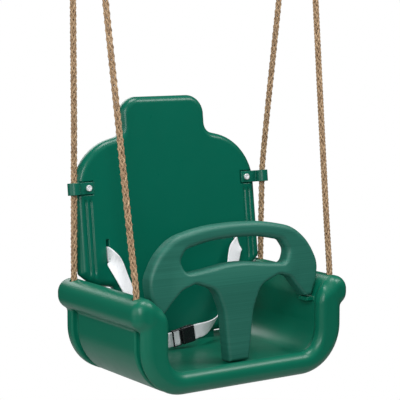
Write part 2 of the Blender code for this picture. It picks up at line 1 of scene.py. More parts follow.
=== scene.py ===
# %% [markdown]
# # A toddler bucket swing, finished in Blender
#
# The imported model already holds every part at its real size: a hollow U-shaped bucket, a high
# backrest, a lift-out front guard, two ropes on steel rings, two rope clips and a lap belt.
# This lesson gives each of them its finished surface. Big mouldings are sculpted as distance
# fields, ropes are plaited with Geometry Nodes, and every finish is a small node tree.

# %% Load the frame
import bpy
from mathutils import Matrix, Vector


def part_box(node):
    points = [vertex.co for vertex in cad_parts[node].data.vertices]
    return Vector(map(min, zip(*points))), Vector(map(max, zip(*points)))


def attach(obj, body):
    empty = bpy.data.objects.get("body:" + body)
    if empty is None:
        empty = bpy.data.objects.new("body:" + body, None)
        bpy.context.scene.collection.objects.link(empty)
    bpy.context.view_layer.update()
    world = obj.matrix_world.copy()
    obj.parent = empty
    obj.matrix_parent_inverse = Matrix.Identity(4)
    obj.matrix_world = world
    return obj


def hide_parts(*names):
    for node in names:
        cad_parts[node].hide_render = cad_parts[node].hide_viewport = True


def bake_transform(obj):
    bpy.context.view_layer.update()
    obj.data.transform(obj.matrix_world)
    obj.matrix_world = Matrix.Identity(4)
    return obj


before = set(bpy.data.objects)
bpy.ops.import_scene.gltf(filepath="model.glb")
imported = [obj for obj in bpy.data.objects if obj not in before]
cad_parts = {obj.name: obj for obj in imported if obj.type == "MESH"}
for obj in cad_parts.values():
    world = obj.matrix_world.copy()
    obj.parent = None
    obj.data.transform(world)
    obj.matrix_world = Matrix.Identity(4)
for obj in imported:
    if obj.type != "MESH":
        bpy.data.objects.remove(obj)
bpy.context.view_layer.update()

import math

import bmesh
import bpy
import numpy as np
from mathutils import Matrix, Vector

print("nodes:", len(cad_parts))

# %% [markdown]
# ## Places and sizes
#
# A swing seat is easiest to think about from the crown of its arm tubes, in millimetres. The
# frame's own origin is up at the swing axis, so one function turns seat millimetres into frame
# metres. Its offset is read from the seat node's box, so the two can't drift apart.

# %% Seat coordinates
MM = 0.001
SEAT_LOW, SEAT_HIGH = (Vector(corner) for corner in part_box("seat_shell"))
ARM_FRONT_Y, ARM_REAR_Y = -126.0, 133.0
FRONT_Y, REAR_Y = -127.0, 127.0
CROWN = Vector((0.0, SEAT_LOW.y - FRONT_Y * MM, SEAT_HIGH.z))


def seat(x, y, z):
    """A point given in seat millimetres, as frame metres."""
    return CROWN + Vector((x, y, z)) * MM


TO_FRAME = Matrix.Translation(CROWN) @ Matrix.Scale(MM, 4)
SIDES = (("left", -1), ("right", 1))
print("arm crowns at z =", round(CROWN.z, 4), "middle at y =", round(CROWN.y, 4))

# %% [markdown]
# ## Camera
#
# The swing is seen from its front left, a little from above. A long lens keeps the two sides
# nearly parallel, so the camera stands well back. Three unit vectors say where it looks from.

# %% Camera
VIEW_TURN = math.radians(34.12)
VIEW_DIP = math.radians(7.08)
VIEW_DISTANCE = 2.432
LENS_MM, SENSOR_MM = 132.0, 36.0
AIM_HEIGHT = 39
SLIDE_LEFT, SLIDE_UP = 0.0068, 0.089
level = math.cos(VIEW_DIP)
away = Vector((-math.sin(VIEW_TURN) * level, -math.cos(VIEW_TURN) * level, math.sin(VIEW_DIP)))
sideways = Vector((math.cos(VIEW_TURN), -math.sin(VIEW_TURN), 0.0))
upwards = away.cross(sideways)
camera_data = bpy.data.cameras.new("studio_camera")
camera_data.lens = LENS_MM
camera_data.sensor_width = SENSOR_MM
camera_data.clip_end = 60.0
camera = bpy.data.objects.new("studio_camera", camera_data)
bpy.context.scene.collection.objects.link(camera)
spot = seat(0, 0, AIM_HEIGHT) + away * VIEW_DISTANCE - sideways * SLIDE_LEFT + upwards * SLIDE_UP
pose = Matrix((sideways, upwards, away)).transposed().to_4x4()
camera.matrix_world = Matrix.Translation(spot) @ pose
bpy.context.scene.camera = camera
bpy.context.scene.view_settings.view_transform = "Standard"
print("camera at", tuple(round(v, 3) for v in spot))

# %% [markdown]
# ## Writing node trees as expressions
#
# Node trees are hard to read as long lists of links. Here one small class wraps a socket, so
# that `a * 0.5 + b` adds the Math nodes it needs, and one method adds any other node from its
# type, its settings and the values of its sockets. The same two tools build shader trees and
# Geometry Nodes trees.


# %% Socket and tree helpers
class Sock:
    """A number socket that can be used in sums."""

    def __init__(self, tree, output):
        self.tree = tree
        self.output = output

    def math(self, operation, *others, swap=False):
        values = [self, *others]
        if swap:
            values = [others[0], self]
        made = self.tree.add("ShaderNodeMath", {"operation": operation}, dict(enumerate(values)))
        return made.out(0)

    def __add__(self, other):
        return self.math("ADD", other)

    def __radd__(self, other):
        return self.math("ADD", other)

    def __sub__(self, other):
        return self.math("SUBTRACT", other)

    def __rsub__(self, other):
        return self.math("SUBTRACT", other, swap=True)

    def __mul__(self, other):
        return self.math("MULTIPLY", other)

    def __rmul__(self, other):
        return self.math("MULTIPLY", other)

    def __truediv__(self, other):
        return self.math("DIVIDE", other)


class Added:
    """A node that has been added, with its outputs as sockets."""

    def __init__(self, tree, node):
        self.tree = tree
        self.node = node

    def out(self, key):
        return Sock(self.tree, self.node.outputs[key])


class Tree:
    """A node tree that nodes are added to by type, settings and socket values."""

    def __init__(self, tree):
        self.tree = tree

    def add(self, kind, settings=None, values=None):
        node = self.tree.nodes.new(kind)
        for name, value in (settings or {}).items():
            if name == "stops":
                while len(node.color_ramp.elements) < len(value):
                    node.color_ramp.elements.new(0.5)
                for element, (place, colour) in zip(node.color_ramp.elements, value):
                    element.position = place
                    element.color = colour
            else:
                setattr(node, name, value)
        for key, value in (values or {}).items():
            if isinstance(value, Sock):
                self.tree.links.new(value.output, node.inputs[key])
            else:
                node.inputs[key].default_value = value
        return Added(self, node)


def finish(name, colour, roughness, metallic=0.0, **constants):
    """A material with a Principled shader, and its tree for what varies over the surface."""
    made = bpy.data.materials.new(name)
    made.use_nodes = True
    made.diffuse_color = (*colour, 1.0)
    shader = made.node_tree.nodes["Principled BSDF"]
    shader.inputs["Base Color"].default_value = (*colour, 1.0)
    shader.inputs["Roughness"].default_value = roughness
    shader.inputs["Metallic"].default_value = metallic
    for label, value in constants.items():
        shader.inputs[label.replace("_", " ")].default_value = value
    return made, Tree(made.node_tree), shader


def feed(tree, shader, label, sock):
    tree.tree.links.new(sock.output, shader.inputs[label])


def bump(tree, shader, height, strength, distance):
    """A height, as a Bump node on the shader's normal."""
    values = {"Height": height, "Strength": strength, "Distance": distance}
    feed(tree, shader, "Normal", tree.add("ShaderNodeBump", None, values).out("Normal"))


def two_tone(tree, shader, mask, low, high):
    """The shader's colour runs from low to high with the mask."""
    mix = tree.add(
        "ShaderNodeMix",
        {"data_type": "RGBA"},
        {"Factor": mask, 6: (*low, 1.0), 7: (*high, 1.0)},
    )
    feed(tree, shader, "Base Color", mix.out(2))


def noise(tree, where, scale, detail=3.0, rough=0.5):
    values = {"Vector": where, "Scale": scale, "Detail": detail, "Roughness": rough}
    return tree.add("ShaderNodeTexNoise", None, values).out(0)


def object_place(tree):
    return tree.add("ShaderNodeTexCoord").out("Object")


print("helpers ready")

# %% [markdown]
# ## Floor and light
#
# A big pale floor lies far below the hanging seat. Soft boxes above, behind and on both sides
# draw a broad highlight along every rounded edge. The world is bright only where the camera sees
# it, so the background stays white without washing out the green.

# %% Floor, lights and world
FLOOR_RADIUS, FLOOR_BELOW = 1.42, 0.45
floor_finish, floor_tree, floor_shader = finish("pale_floor", (0.46, 0.46, 0.46), 0.9)
floor_cloud = noise(floor_tree, object_place(floor_tree), 3.0)
two_tone(floor_tree, floor_shader, floor_cloud, (0.44, 0.44, 0.44), (0.48, 0.48, 0.48))
bm = bmesh.new()
bmesh.ops.create_circle(bm, cap_ends=True, radius=FLOOR_RADIUS, segments=96)
bmesh.ops.translate(bm, verts=bm.verts, vec=(0, 0, SEAT_LOW.z - FLOOR_BELOW))
floor_mesh = bpy.data.meshes.new("studio_floor")
bm.to_mesh(floor_mesh)
bm.free()
floor_mesh.materials.append(floor_finish)
floor = bpy.data.objects.new("studio_floor", floor_mesh)
bpy.context.scene.collection.objects.link(floor)


def soft_light(name, place, size, power):
    """A square soft box aimed at the seat."""
    data = bpy.data.lights.new(name, "AREA")
    data.size = size
    data.energy = power
    light = bpy.data.objects.new(name, data)
    light.location = place
    light.rotation_euler = (place - seat(0, 0, 0)).to_track_quat("Z", "Y").to_euler()
    bpy.context.scene.collection.objects.link(light)


for name, place, size, power in (
    ("top_box", (200, -150, 2000), 0.8, 28.0),
    ("right_box", (1200, -850, 1600), 0.7, 24.0),
    ("front_left_box", (-1500, -1700, 1500), 0.9, 33.0),
    ("front_left_spot", (-1400, -2050, 600), 0.6, 19.0),
    ("left_card", (-2400, -200, 650), 2.2, 27.0),
    ("rear_box", (100, 2000, 1400), 1.5, 26.0),
):
    soft_light(name, seat(*place), size, power)
world = bpy.data.worlds.new("white_studio")
world.use_nodes = True
bpy.context.scene.world = world
room = Tree(world.node_tree)
backdrop = world.node_tree.nodes["Background"]
backdrop.inputs["Color"].default_value = (1.0, 1.0, 1.0, 1.0)
seen = room.add("ShaderNodeLightPath").out("Is Camera Ray")
AMBIENT = 0.07
room.tree.links.new((AMBIENT + seen * (1.0 - AMBIENT)).output, backdrop.inputs["Strength"])
print("studio ready")

# %% [markdown]
# ## Finishes
#
# The bucket and backrest are blow-moulded polyethylene: a deep bluish green with a satin skin, a
# very fine orange-peel grain and slight scuffs. The guard comes from a different tool: greyer,
# more matt, with fine level lines across its face. Only colour, roughness and bump vary.


# %% Moulded plastic
def moulded(name, low, high, roughness, grain, specular):
    """Satin plastic with a cloudy colour, faint scuffs and orange-peel grain."""
    made, tree, shader = finish(name, high, roughness, IOR=1.5, Specular_IOR_Level=specular)
    where = object_place(tree)
    cloudy = noise(tree, where, 7.0, 4.0)
    two_tone(tree, shader, cloudy, low, high)
    scuffs = noise(tree, where, 60.0, 6.0, 0.7)
    feed(tree, shader, "Roughness", roughness + (scuffs - 0.5) * 0.14)
    peel = noise(tree, where, 900.0, 2.0)
    ripple = noise(tree, where, 45.0, 2.0)
    bump(tree, shader, peel * grain + ripple * 0.5, 0.35, 0.0004)
    return made


SEAT_GREEN = moulded(
    "seat_green_plastic", (0.0003, 0.100, 0.057), (0.0006, 0.120, 0.070), 0.36, 0.10, 0.32
)
BACK_GREEN = moulded(
    "back_green_plastic", (0.0001, 0.088, 0.054), (0.0003, 0.101, 0.063), 0.3, 0.07, 0.26
)
CLIP_GREEN = moulded(
    "clip_green_plastic", (0.0006, 0.085, 0.053), (0.001, 0.104, 0.067), 0.36, 0.12, 0.32
)


# %% Guard plastic with level tool lines
LINE_PITCH_TURNS = 2.0 * math.pi / 0.0033


def lined_green():
    """Matt plastic with level lines: noise stretched sideways, over a faint even ridge."""
    green = (0.012, 0.125, 0.088)
    made, tree, shader = finish(
        "guard_green_plastic", green, 0.5, IOR=1.48, Specular_IOR_Level=0.38
    )
    where = object_place(tree)

    def stretched(across, up):
        values = {"Vector": where, "Scale": (across, across, up)}
        return tree.add("ShaderNodeMapping", {"vector_type": "POINT"}, values).out(0)

    lines = noise(tree, stretched(3.0, 420.0), 1.0, 4.0, 0.6)
    bands = noise(tree, stretched(1.5, 90.0), 1.0, 2.0)
    height = tree.add("ShaderNodeSeparateXYZ", None, {0: where}).out("Z")
    ridge = (height * LINE_PITCH_TURNS).math("SINE")
    shade = lines * 0.75 + bands * 0.5 + ridge * 0.05 - 0.1
    two_tone(tree, shader, shade, (0.003, 0.072, 0.050), (0.020, 0.146, 0.105))
    feed(tree, shader, "Roughness", 0.42 + lines * 0.16)
    bump(tree, shader, lines * 0.8 + ridge * 0.08, 0.4, 0.0003)
    return made


GUARD_GREEN = lined_green()
print("plastics:", SEAT_GREEN.name, BACK_GREEN.name, CLIP_GREEN.name, GUARD_GREEN.name)

# %% [markdown]
# ## Rope and webbing
#
# The rope is split-film yarn in hemp colours, and the belt is white ribbed tape. Their patterns
# must bend with them, so they read attributes and the piece's own UV instead of object space.


# %% Rope and webbing finishes
def attribute(tree, name):
    return tree.add("ShaderNodeAttribute", {"attribute_name": name}).out("Fac")


def joined(tree, x, y, z):
    return tree.add("ShaderNodeCombineXYZ", None, {"X": x, "Y": y, "Z": z}).out(0)


def hemp_yarn():
    """Split-film yarn: fibres along each strand, light tan with brown and grey flecks."""
    made, tree, shader = finish("hemp_yarn", (0.40, 0.25, 0.13), 0.72)
    along, around, strand = (attribute(tree, name) for name in ("along", "around", "strand"))
    fibre_place = joined(tree, around * 14.0 + along * 260.0, along * 60.0, strand * 7.3)
    fibres = noise(tree, fibre_place, 1.6, 5.0, 0.65)
    flecks = noise(tree, joined(tree, around * 3.0, along * 55.0, strand * 3.7), 1.0, 3.0)
    tone = fibres * 0.65 + flecks * 0.45
    ramp = tree.add(
        "ShaderNodeValToRGB",
        {
            "stops": (
                (0.36, (0.075, 0.040, 0.019, 1.0)),
                (0.48, (0.22, 0.134, 0.070, 1.0)),
                (0.60, (0.41, 0.275, 0.155, 1.0)),
                (0.74, (0.60, 0.450, 0.285, 1.0)),
            )
        },
        {0: tone},
    )
    feed(tree, shader, "Base Color", ramp.out(0))
    feed(tree, shader, "Roughness", 0.6 + fibres * 0.25)
    bump(tree, shader, fibres, 0.8, 0.0006)
    return made


def plain_hemp():
    """The knots hide inside the arms, so their yarn reads plain object coordinates."""
    made, tree, shader = finish("hemp_knot", (0.40, 0.25, 0.13), 0.75)
    where = object_place(tree)
    fibres = noise(tree, where, 500.0, 5.0)
    two_tone(tree, shader, fibres, (0.25, 0.14, 0.06), (0.60, 0.42, 0.25))
    bump(tree, shader, fibres, 0.8, 0.0006)
    return made


def ribbed_webbing():
    """Woven white tape: a fine herringbone across its width, read from the piece's own UV."""
    made, tree, shader = finish("white_webbing", (0.86, 0.87, 0.90), 0.85, Sheen_Weight=0.2)
    spread = tree.add("ShaderNodeSeparateXYZ", None, {0: tree.add("ShaderNodeTexCoord").out("UV")})
    across, along = spread.out("X"), spread.out("Y")
    zigzag = (across * 9.0).math("PINGPONG", 0.5)
    ribs = ((along * 520.0 + zigzag * 2.4) * (2.0 * math.pi)).math("SINE")
    ends = ((across * 34.0) * (2.0 * math.pi)).math("SINE")
    weave = ribs * 0.5 + ends * 0.35
    two_tone(tree, shader, weave * 0.35 + 0.6, (0.66, 0.67, 0.71), (0.90, 0.91, 0.93))
    bump(tree, shader, weave, 0.55, 0.0004)
    return made


HEMP = hemp_yarn()
HEMP_KNOT = plain_hemp()
WEBBING = ribbed_webbing()
print("soft finishes:", HEMP.name, HEMP_KNOT.name, WEBBING.name)

# %% [markdown]
# ## Black plastic and steel
#
# The buckle is glossy black acetal, worn a little unevenly. Rings, thimbles and nuts are zinc
# plated. The clip screws get a paler, less metallic plate, a painted glint that makes their heads
# read as bright dots.


# %% Hard finishes
def black_plastic():
    made, tree, shader = finish("black_acetal", (0.008, 0.008, 0.010), 0.22, IOR=1.48)
    where = object_place(tree)
    worn = noise(tree, where, 260.0, 4.0)
    two_tone(tree, shader, worn, (0.006, 0.006, 0.008), (0.014, 0.014, 0.016))
    feed(tree, shader, "Roughness", 0.18 + worn * 0.16)
    bump(tree, shader, noise(tree, where, 1500.0), 0.15, 0.0002)
    return made


def steel(name, low, high, metallic):
    made, tree, shader = finish(name, high, 0.3, metallic)
    where = object_place(tree)
    spangle = noise(tree, where, 180.0, 4.0)
    two_tone(tree, shader, spangle, low, high)
    feed(tree, shader, "Roughness", 0.2 + spangle * 0.25)
    bump(tree, shader, noise(tree, where, 900.0), 0.2, 0.0002)
    return made


BLACK = black_plastic()
ZINC = steel("zinc_steel", (0.58, 0.59, 0.61), (0.78, 0.78, 0.79), 1.0)
# Painted highlight: the clip screws' zinc is paler and only half metallic, so the heads read as
# bright dots.
GLINT_PAINTED_ZINC = steel("zinc_steel_painted_glint", (0.80, 0.81, 0.83), (0.92, 0.92, 0.93), 0.45)
print("hard finishes:", BLACK.name, ZINC.name, GLINT_PAINTED_ZINC.name)

# %% [markdown]
# ## Sculpting with distance fields
#
# A blow-moulded shell has no sharp edge and no clean seam between tube and wall: every join is a
# soft fillet. Booleans and bevels struggle with that. A distance field doesn't: each shape is a
# formula that says how far a point is from its surface, a rounded join is one more formula, and
# a surface net turns the zero level into quads. The net is evened out, each vertex is slid along
# the field's slope onto the exact surface, and the same slope gives its shading normal, so that
# even a coarse grid comes out smooth.


# %% Distance tools
def rounded_join(a, b, radius):
    """The overlap of two solids, with the edge where they meet rounded."""
    high_a = np.maximum(a + radius, 0.0)
    high_b = np.maximum(b + radius, 0.0)
    return np.minimum(np.maximum(a + radius, b + radius), 0.0) + np.hypot(high_a, high_b) - radius


def melted(a, b, radius):
    """Two solids made one, with a fillet where they meet."""
    blend = np.clip(0.5 + 0.5 * (b - a) / radius, 0.0, 1.0)
    return b + (a - b) * blend - radius * blend * (1.0 - blend)


def carved(a, b, radius):
    """Solid a with solid b taken away, and a soft edge round the cut."""
    return -melted(-a, b, radius)


def smoothstep(low, high, value):
    t = np.clip((value - low) / (high - low), 0.0, 1.0)
    return t * t * (3.0 - 2.0 * t)


def surface_net(field, low, cell):
    """Vertices and quads on the zero level of a grid of distances."""
    shape = np.array(field.shape) - 1
    total = np.zeros((*shape, 3))
    count = np.zeros(shape)
    corners = [(i, j, k) for i in (0, 1) for j in (0, 1) for k in (0, 1)]

    def at(corner):
        return field[tuple(slice(c, c + n) for c, n in zip(corner, shape))]

    for start in corners:
        for axis in range(3):
            if start[axis]:
                continue
            stop = tuple(c + (i == axis) for i, c in enumerate(start))
            a, b = at(start), at(stop)
            crossed = (a < 0) != (b < 0)
            t = np.where(crossed, a / np.where(crossed, a - b, 1.0), 0.0)
            for i in range(3):
                total[..., i] += np.where(crossed, start[i] + (t if i == axis else 0.0), 0.0)
            count += crossed
    used = count > 0
    index = np.full(shape, -1)
    index[used] = np.arange(used.sum())
    base = np.argwhere(used)
    points = low + cell * (base + total[used] / count[used][:, None])
    quads = []
    inside = field < 0
    for axis in range(3):
        u, v = (axis + 1) % 3, (axis + 2) % 3
        first = [slice(1, -1)] * 3
        first[axis] = slice(0, -1)
        second = list(first)
        second[axis] = slice(1, None)
        here, there = inside[tuple(first)], inside[tuple(second)]
        for leaving in (True, False):
            edges = np.argwhere((here != there) & (here == leaving))
            edges[:, u] += 1
            edges[:, v] += 1
            around = ((0, 0), (-1, 0), (-1, -1), (0, -1))
            cells = []
            for du, dv in around if leaving else around[::-1]:
                cell_of = edges.copy()
                cell_of[:, u] += du
                cell_of[:, v] += dv
                cells.append(index[tuple(cell_of.T)])
            quads.append(np.stack(cells, axis=1))
    return points, np.concatenate(quads)


def slope_of(distance, points, step):
    """The field's gradient at each point."""
    px, py, pz = points.T
    ahead = (distance(px + step, py, pz), distance(px, py + step, pz), distance(px, py, pz + step))
    behind = (distance(px - step, py, pz), distance(px, py - step, pz), distance(px, py, pz - step))
    return np.stack([a - b for a, b in zip(ahead, behind)], axis=1) / (2 * step)


def relaxed(points, quads):
    """Each point moved halfway to the middle of its neighbours, which evens out the net."""
    total = np.zeros_like(points)
    count = np.zeros(len(points))
    for k in range(4):
        here, there = quads[:, k], quads[:, (k + 1) % 4]
        count += np.bincount(here, minlength=len(points))
        for axis in range(3):
            total[:, axis] += np.bincount(here, weights=points[there, axis], minlength=len(points))
    return 0.5 * points + 0.5 * total / count[:, None]


def sculpted(name, distance, low, high, cell, look, place):
    """A mesh object on the zero level of distance(x, y, z), all in millimetres before place."""
    low, high = np.array(low, float), np.array(high, float)
    steps = np.ceil((high - low) / cell).astype(int) + 1
    x, y, z = (low[i] + cell * np.arange(steps[i]) for i in range(3))
    field = distance(x[:, None, None], y[None, :, None], z[None, None, :])
    points, quads = surface_net(np.broadcast_to(field, tuple(steps)), low, cell)
    for relax in (True, True, False, False):
        if relax:
            points = relaxed(points, quads)
        slope = slope_of(distance, points, 0.2)
        steep = np.maximum((slope**2).sum(axis=1), 0.25)
        shift = np.clip(distance(*points.T) / steep, -cell / 2, cell / 2)
        points = points - slope * shift[:, None]
    if place.determinant() < 0:
        quads = quads[:, ::-1]
    mesh = bpy.data.meshes.new(name)
    mesh.from_pydata(points.tolist(), [], quads.tolist())
    mesh.transform(place)
    made = shown(name, mesh, look)
    turn = np.array(place.to_3x3().inverted().transposed())
    normals = slope_of(distance, points, 0.4 * cell) @ turn.T
    lengths = np.maximum(np.linalg.norm(normals, axis=1, keepdims=True), 1e-9)
    mesh.normals_split_custom_set_from_vertices((normals / lengths).tolist())
    return made


def shown(name, mesh, look):
    """A finished mesh, smooth shaded, as an object at the origin."""
    mesh.materials.clear()
    mesh.materials.append(look)
    mesh.shade_smooth()
    obj = bpy.data.objects.new(name, mesh)
    bpy.context.scene.collection.objects.link(obj)
    print(name, len(mesh.polygons), "faces")
    return obj


def stand_for(piece, body, material_slot, *nodes):
    """A finished piece that moves with a body and is shown in place of CAD nodes."""
    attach(piece, body)
    if nodes:
        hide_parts(*nodes)


# %% [markdown]
# ## The bucket
#
# The bucket is one U-shaped band, thick in the walls and thinner in the floor, rounded at its
# front and rear rims. Between the rims its inner face is sunk a little. Outside, a narrow
# valley behind each rim leaves a flat panel that fades out round the bottom corner. The arm
# tubes melt into the tops of the walls. All of that is a function of how deep a point lies
# under the outer face and how far it is along the seat.

# %% Bucket field
WALL_FACE_X = 197.0
UNDERSIDE_Z = -159.0
CORNER_R = 80.0
WALL_T, FLOOR_T = 49.0, 37.0
ARM_X, ARM_R = 187.5, 23.0
ROPE_X, ROPE_Y, ROPE_MID_Y = 190.5, 97.5, 3.0
ROPE_HOLE_R, ROPE_HOLE_LOW_Z = 6.1, -34.0
GUARD_TIP_Z = -34.0
WALL_SUNK, FLOOR_SUNK, PANEL_SUNK = 8.0, 2.5, 2.6
OUTER_NOSE_R, WALL_NOSE_R, FLOOR_NOSE_R = 19.0, 11.5, 16.0
VALLEYS_Y, VALLEY_HALF, VALLEY_DEPTH = (-104.0, 90.5), 7.5, 14.0
ARM_MID_Z, ARM_STRAIGHT, ARM_END_R = -25.5, 2.5, 18.0
LEDGE_MID, LEDGE_HALF = (150.0, -84.0, -38.0), (9.0, 12.0, 3.4)


def bucket(x, y, z):
    side = np.abs(x)
    px = side - (WALL_FACE_X - CORNER_R)
    pz = (UNDERSIDE_Z + CORNER_R) - z
    corner = (px > 0) & (pz > 0)
    reach = np.where(corner, np.hypot(np.maximum(px, 0), np.maximum(pz, 0)), np.maximum(px, pz))
    depth = CORNER_R - reach
    quarter = np.arctan2(np.maximum(pz, 0), np.maximum(px, 1e-6)) / (np.pi / 2)
    turn = np.where(corner, quarter, (pz > px) * 1.0)
    thick = WALL_T + (FLOOR_T - WALL_T) * smoothstep(0.0, 1.0, turn)
    sunk = (WALL_SUNK + (FLOOR_SUNK - WALL_SUNK) * turn) * smoothstep(111.0, 99.0, np.abs(y))
    inner_share = smoothstep(0.25, 0.75, depth / thick)
    inner_nose_r = WALL_NOSE_R + (FLOOR_NOSE_R - WALL_NOSE_R) * turn
    nose_r = OUTER_NOSE_R + (inner_nose_r - OUTER_NOSE_R) * inner_share
    fade = (1.0 - smoothstep(0.4, 0.92, turn)) * smoothstep(-34.0, -46.0, z)
    panel = PANEL_SUNK * fade * smoothstep(-112.0, -103.0, y) * smoothstep(97.0, 90.0, y)
    band = rounded_join(np.maximum(panel - depth, depth - thick + sunk), np.abs(y) - REAR_Y, nose_r)
    for centre in VALLEYS_Y:
        groove = rounded_join(np.abs(y - centre) - VALLEY_HALF, depth - VALLEY_DEPTH * fade, 6.0)
        band = carved(band, groove, 4.0)
    band = rounded_join(band, z + 2.0 + 0.6 * np.maximum(depth - 16.0, 0.0), 22.0)
    above = np.maximum(np.abs(z - ARM_MID_Z) - ARM_STRAIGHT, 0.0)
    radial = np.hypot(side - ARM_X, above) - ARM_R
    arm = rounded_join(radial, np.maximum(ARM_FRONT_Y - y, y - ARM_REAR_Y), ARM_END_R)
    past = [np.abs(v - m) - h for v, m, h in zip((side, y, z), LEDGE_MID, LEDGE_HALF)]
    ledge = np.maximum(np.maximum(past[0], past[1]), past[2])
    solid = melted(melted(band, arm, 5.0), ledge, 3.0)
    hole = np.hypot(side - ROPE_X, np.abs(y - ROPE_MID_Y) - ROPE_Y) - ROPE_HOLE_R
    hole = np.maximum(hole, ROPE_HOLE_LOW_Z - z)
    return carved(solid, hole, 1.6)


seat_piece = sculpted(
    "seat_moulding", bucket, (-214, -131, -163), (214, 137, 4), 2.3, SEAT_GREEN, TO_FRAME
)
stand_for(seat_piece, "swing", "moulded_green", "seat_shell")


# %% [markdown]
# ## Outlines with round corners
#
# The backrest and the guard are plates, so each starts as a flat outline. Corners are given as a
# point and a radius, the right half only, and the left half is its mirror. The distance to such
# an outline is the distance to its nearest edge, negative inside.


# %% Outline tools
def rounded(corners):
    """An outline whose corners (x, y, radius) are rounded, big ones in finer steps."""
    outline = []
    count = len(corners)
    for i, (x, y, radius) in enumerate(corners):
        here = Vector((x, y))
        if radius == 0:
            outline.append((x, y))
            continue
        before = (Vector(corners[i - 1][:2]) - here).normalized()
        after = (Vector(corners[(i + 1) % count][:2]) - here).normalized()
        half = before.angle(after) / 2
        start = here + before * (radius / math.tan(half))
        end = here + after * (radius / math.tan(half))
        centre = here + (before + after).normalized() * (radius / math.sin(half))
        sweep = (start - centre).angle_signed(end - centre)
        steps = math.ceil(math.degrees(abs(sweep)) / (1.2 if radius > 30 else 4.0))
        for k in range(steps + 1):
            point = centre + Matrix.Rotation(-sweep * k / steps, 2) @ (start - centre)
            outline.append((point.x, point.y))
    return outline


def mirrored(half):
    left = [(-x, *rest) for x, *rest in reversed(half) if abs(x) > 1e-6]
    return list(half) + left


def outline_distance(outline, x, z):
    """Distance from a flat outline, negative inside."""
    shape = np.broadcast(x, z).shape
    nearest = np.full(shape, 1e9)
    inside = np.zeros(shape, bool)
    for (ax, az), (bx, bz) in zip(outline, outline[1:] + outline[:1]):
        ex, ez = bx - ax, bz - az
        wx, wz = x - ax, z - az
        t = np.clip((wx * ex + wz * ez) / max(ex * ex + ez * ez, 1e-9), 0.0, 1.0)
        nearest = np.minimum(nearest, (wx - ex * t) ** 2 + (wz - ez * t) ** 2)
        crosses = ((az > z) != (bz > z)) & (wx < ex * wz / (ez if abs(ez) > 1e-9 else 1e-9))
        inside ^= crosses
    return np.sqrt(nearest) * np.where(inside, -1.0, 1.0)


# %% [markdown]
# ## The backrest
#
# A slab 25 mm thick with a soft edge all round, a head bump on top and round shoulders. Its front
# has two shallow upright grooves near each side below the clips, a pocket for each clip tab and a
# slot for each end of the belt. It leans back a little, so it is sculpted upright and then turned.

# %% Backrest field
BACK_Y = 100.0
BACK_LEAN = math.atan(0.12)
BACK_T = 25.0
CLIP_LEVEL = 148.0
CLIP_X = 160.0
CLIP_TAB_END_X = 150.0
CLIP_POCKET = 3.0
SCREW_HOLE_R = 2.9
SLOT_X, SLOT_LOW, SLOT_HIGH, SLOT_WIDTH = 129.5, 19.0, 60.5, 5.0
BACK_OUTLINE = rounded(
    mirrored(
        [
            (0, 296.5, 0),
            (84, 296.5, 33),
            (84, 233, 18),
            (180.5, 210.5, 92),
            (182, 6.5, 7),
            (166, -6.5, 8),
            (150, -15.5, 8),
            (119, -20, 8),
            (112, -114, 10),
            (0, -116, 0),
        ]
    )
)
LEAN = TO_FRAME @ Matrix.Translation((0, BACK_Y, 0)) @ Matrix.Rotation(-BACK_LEAN, 4, "X")


def backrest(x, y, z):
    side = np.abs(x)
    edge = outline_distance(BACK_OUTLINE, x, z)
    slab = rounded_join(edge, np.abs(y) - BACK_T / 2, 12.0)
    below = smoothstep(132.0, 124.0, z) * smoothstep(-5.0, 12.0, z)
    for centre in (156.0, 165.5):
        groove = np.exp(-(((side - centre) / 2.2) ** 2))
        slab = slab + np.where(y < 0, 2.4 * groove * below, 0.0)
    slot_z = np.abs(z - (SLOT_LOW + SLOT_HIGH) / 2) - (SLOT_HIGH - SLOT_LOW) / 2
    slot = np.maximum(np.abs(side - SLOT_X) - SLOT_WIDTH / 2, slot_z)
    slab = carved(slab, slot, 1.2)
    pocket_side = np.maximum(CLIP_TAB_END_X - 1.0 - side, np.abs(z - CLIP_LEVEL) - 11.0)
    pocket = np.maximum(pocket_side, y + BACK_T / 2 - CLIP_POCKET)
    slab = carved(slab, pocket, 1.0)
    screw = np.hypot(side - CLIP_X, z - CLIP_LEVEL) - SCREW_HOLE_R
    slab = carved(slab, screw, 0.6)
    tongue_x = np.abs(side - 62.0) - 14.0
    tongue = np.maximum(np.maximum(tongue_x, np.abs(y) - 5.0), np.abs(z + 119.0) - 12.0)
    return melted(slab, tongue, 2.0)


back_piece = sculpted(
    "backrest_moulding", backrest, (-185, -15, -134), (185, 15, 300), 1.9, BACK_GREEN, LEAN
)
stand_for(back_piece, "swing", "moulded_green", "backrest_shell")

# %% [markdown]
# ## The front guard
#
# The guard is a plate with an arched top bar, an arched hand-hole and a leg that stands between
# the child's thighs. Its middle is bowed forward a little, its edges are rounder on the bar that
# small hands hold, and the leg thins towards the foot.

# %% Guard field
GUARD_Y, GUARD_T = -82.5, 27.0
GUARD_LEAN = math.radians(3)
GUARD_FOOT_Z = -123.2
GUARD_OUTLINE = rounded(
    mirrored(
        [
            (0, 101.5, 600),
            (60, 99, 300),
            (119, 86, 78),
            (151, 58, 80),
            (167, 22, 50),
            (163, -4, 20),
            (151.5, GUARD_TIP_Z + 2, 5),
            (138.5, GUARD_TIP_Z + 2, 5),
            (106, 3, 24),
            (82, 11, 18),
            (44, -3, 30),
            (29, -40, 60),
            (19.8, GUARD_FOOT_Z, 3),
            (0, GUARD_FOOT_Z, 0),
        ]
    )
)
HAND_HOLE = rounded(
    mirrored(
        [
            (0, 77, 400),
            (50, 74.5, 200),
            (94, 65, 14),
            (106, 47, 13),
            (98, 27, 12),
            (58, 31, 90),
            (0, 39, 220),
        ]
    )
)


GUARD_STAND = TO_FRAME @ Matrix.Translation((0, GUARD_Y, 0)) @ Matrix.Rotation(-GUARD_LEAN, 4, "X")


